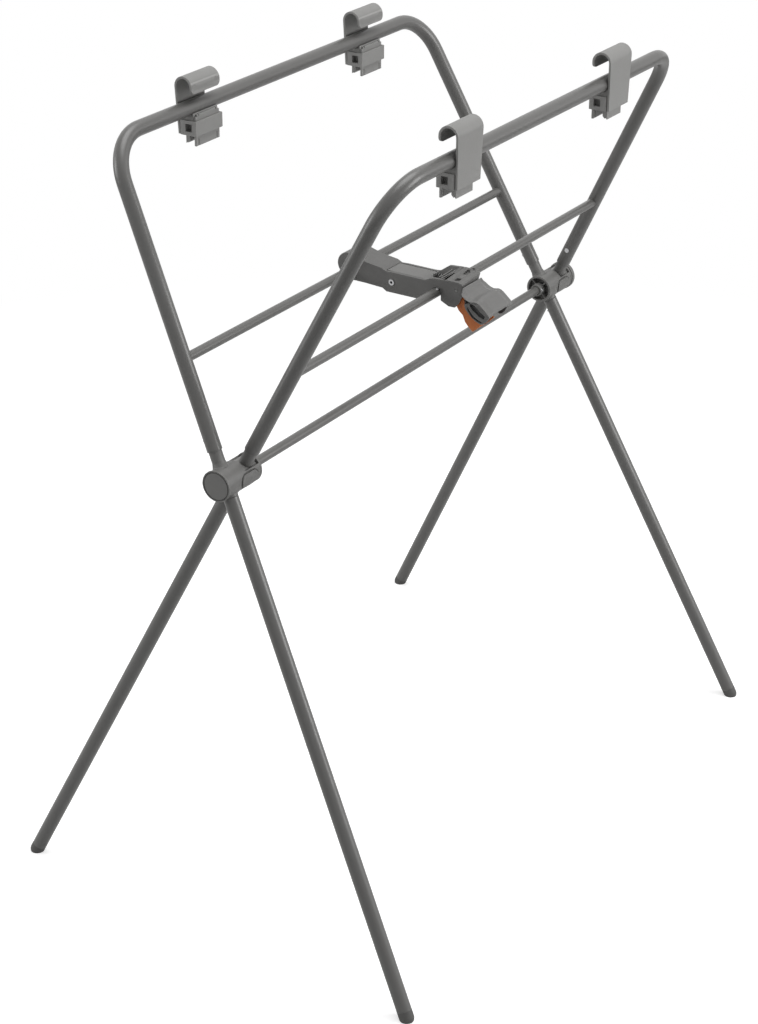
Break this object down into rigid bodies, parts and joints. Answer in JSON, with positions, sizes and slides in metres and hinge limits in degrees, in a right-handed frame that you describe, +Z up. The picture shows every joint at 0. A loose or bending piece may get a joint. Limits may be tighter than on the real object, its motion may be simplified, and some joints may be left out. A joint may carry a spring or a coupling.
{
  "type": "baby bath stand",
  "caption": "Folding tube stand for a baby bath: crossed frames on a hub axis, a hooked strut with a trigger latch, and swivelling rail clips that carry the tub rim.",
  "frame": {"origin": "middle of the stand's footprint, on the floor", "axes": "+X across the two rails, +Y along the hub axis from the near hub to the far hub, +Z up"},
  "size_m": [0.6316, 0.9678, 1.0381],
  "materials": {
    "tube_paint": "satin powder coat, warm dark grey",
    "hub_plastic": "fine moulded texture, grey",
    "strut_plastic": "fine moulded texture, dark grey",
    "clip_plastic": "fine moulded texture, mid grey",
    "foot_plastic": "soft moulded cap, dark grey",
    "trigger_plastic": "orange, slightly glossy",
    "steel": "plain zinc-plated steel",
    "plug_plastic": "black insert"
  },
  "bodies": {
    "frame_a": {"frame_a_upper": "tube_paint", "crossbar_a": "tube_paint", "leg_a_near": "tube_paint", "leg_a_far": "tube_paint", "foot_a_near": "foot_plastic", "foot_a_far": "foot_plastic", "tube_rivets_a": "steel", "hub_barrel_near": "hub_plastic", "hub_barrel_far": "hub_plastic", "hub_cap_near": "hub_plastic", "hub_cap_far": "hub_plastic", "hub_collar_near": "hub_plastic", "hub_collar_far": "hub_plastic", "hub_bar": "tube_paint", "axle_plugs": "plug_plastic", "axle_screws": "steel", "axle_washers": "steel"},
    "frame_b": {"frame_b_upper": "tube_paint", "crossbar_b": "tube_paint", "leg_b_near": "tube_paint", "leg_b_far": "tube_paint", "foot_b_near": "foot_plastic", "foot_b_far": "foot_plastic", "tube_rivets_b": "steel", "hub_rotor_near": "hub_plastic", "hub_rotor_far": "hub_plastic", "catch_pins": "steel"},
    "strut": {"strut_body": "strut_plastic", "strut_eye_cap": "strut_plastic", "strut_screws": "steel", "strut_rivet": "steel", "handle_shell": "strut_plastic", "handle_liner": "plug_plastic", "handle_screws": "steel", "trigger_pin": "steel", "latch_spring": "steel"},
    "latch": {"latch_slide": "strut_plastic"},
    "trigger": {"trigger": "trigger_plastic"},
    "clip_a_near": {"clip_a_near_hook": "clip_plastic", "clip_a_near_body": "clip_plastic", "clip_a_near_collar": "clip_plastic", "clip_a_near_jaw": "clip_plastic", "clip_a_near_screws": "steel"},
    "clip_a_far": {"clip_a_far_hook": "clip_plastic", "clip_a_far_body": "clip_plastic", "clip_a_far_collar": "clip_plastic", "clip_a_far_jaw": "clip_plastic", "clip_a_far_screws": "steel"},
    "clip_b_near": {"clip_b_near_hook": "clip_plastic", "clip_b_near_body": "clip_plastic", "clip_b_near_collar": "clip_plastic", "clip_b_near_jaw": "clip_plastic", "clip_b_near_screws": "steel"},
    "clip_b_far": {"clip_b_far_hook": "clip_plastic", "clip_b_far_body": "clip_plastic", "clip_b_far_collar": "clip_plastic", "clip_b_far_jaw": "clip_plastic", "clip_b_far_screws": "steel"}
  },
  "joints": [
    {"name": "fold", "type": "hinge", "parent": "frame_a", "child": "frame_b", "pos_m": [0, 0, 0.62], "axis": [0, -1, 0], "range_deg": [0, 43]},
    {"name": "strut_lift", "type": "hinge", "parent": "frame_a", "child": "strut", "pos_m": [-0.06736, -0.016, 0.7557], "axis": [0, -1, 0], "range_deg": [0, 116.4]},
    {"name": "trigger_pull", "type": "hinge", "parent": "strut", "child": "trigger", "pos_m": [0.09636, -0.016, 0.7637], "axis": [0, -1, 0], "range_deg": [0, 12], "stiffness_Nm_per_rad": 0.3, "springref_deg": -17.19},
    {"name": "latch_travel", "type": "slide", "parent": "strut", "child": "latch", "axis": [1, 0, 0], "range_m": [0, 0.0034], "deforming": ["latch_spring"]},
    {"name": "clip_swivel_a_near", "type": "hinge", "parent": "frame_a", "child": "clip_a_near", "pos_m": [-0.18697, -0.1845, 0.99665], "axis": [0, 1, 0], "range_deg": [-15, 15]},
    {"name": "clip_swivel_a_far", "type": "hinge", "parent": "frame_a", "child": "clip_a_far", "pos_m": [-0.18697, 0.1845, 0.99665], "axis": [0, 1, 0], "range_deg": [-15, 15]},
    {"name": "clip_swivel_b_near", "type": "hinge", "parent": "frame_b", "child": "clip_b_near", "pos_m": [0.18697, -0.1845, 0.99665], "axis": [0, 1, 0], "range_deg": [-15, 15]},
    {"name": "clip_swivel_b_far", "type": "hinge", "parent": "frame_b", "child": "clip_b_far", "pos_m": [0.18697, 0.1845, 0.99665], "axis": [0, 1, 0], "range_deg": [-15, 15]}
  ],
  "couplings": [
    {"joint": "strut_lift", "follows": "fold", "ratio": 2.7},
    {"joint": "latch_travel", "follows": "trigger_pull", "m_per_rad": 0.0158}
  ]
}
